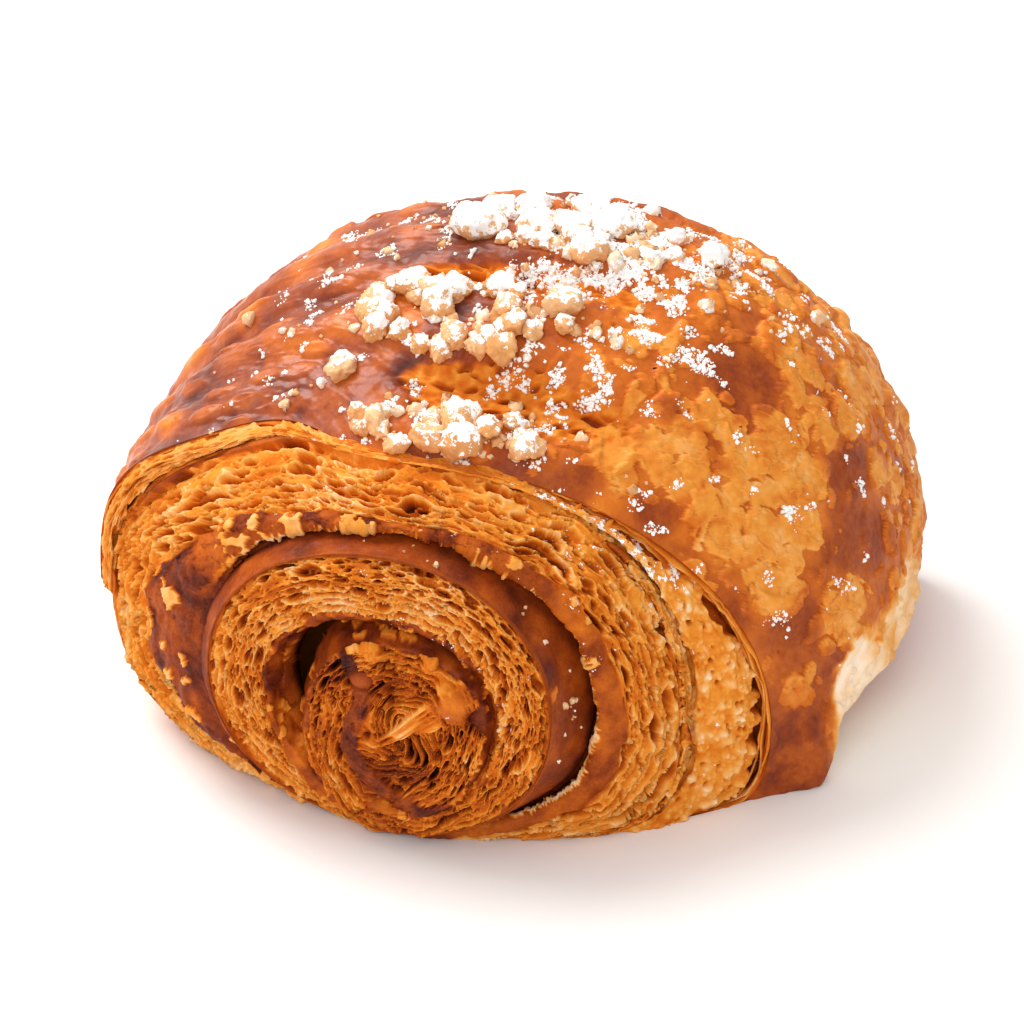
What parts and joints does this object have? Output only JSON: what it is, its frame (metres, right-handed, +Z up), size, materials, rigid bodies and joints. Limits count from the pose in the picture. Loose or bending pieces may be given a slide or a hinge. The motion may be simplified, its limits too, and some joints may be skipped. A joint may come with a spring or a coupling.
{
  "type": "pain au chocolat",
  "caption": "Large rolled pain au chocolat: domed glossy crust, spiral of layered dough stepping out at one end, slashed top with crumble.",
  "frame": {"origin": "middle of the box, on the surface that the pastry stands on", "axes": "+X across the roll, +Y along the roll from the pushed-out spiral end to the plainer end, +Z up"},
  "size_m": [0.1027, 0.092, 0.0654],
  "materials": {
    "baked_crust": "egg-washed crust, glossy, mottled red-brown to golden",
    "layered_crumb": "torn honeycomb of butter layers, matte, golden orange with dark brown hollows",
    "crumble": "baked flour and butter crumble, matte, sandy cream to tan",
    "icing_sugar": "icing sugar, powdery white"
  },
  "bodies": {
    "root": {"pastry": "baked_crust"}
  },
  "joints": []
}
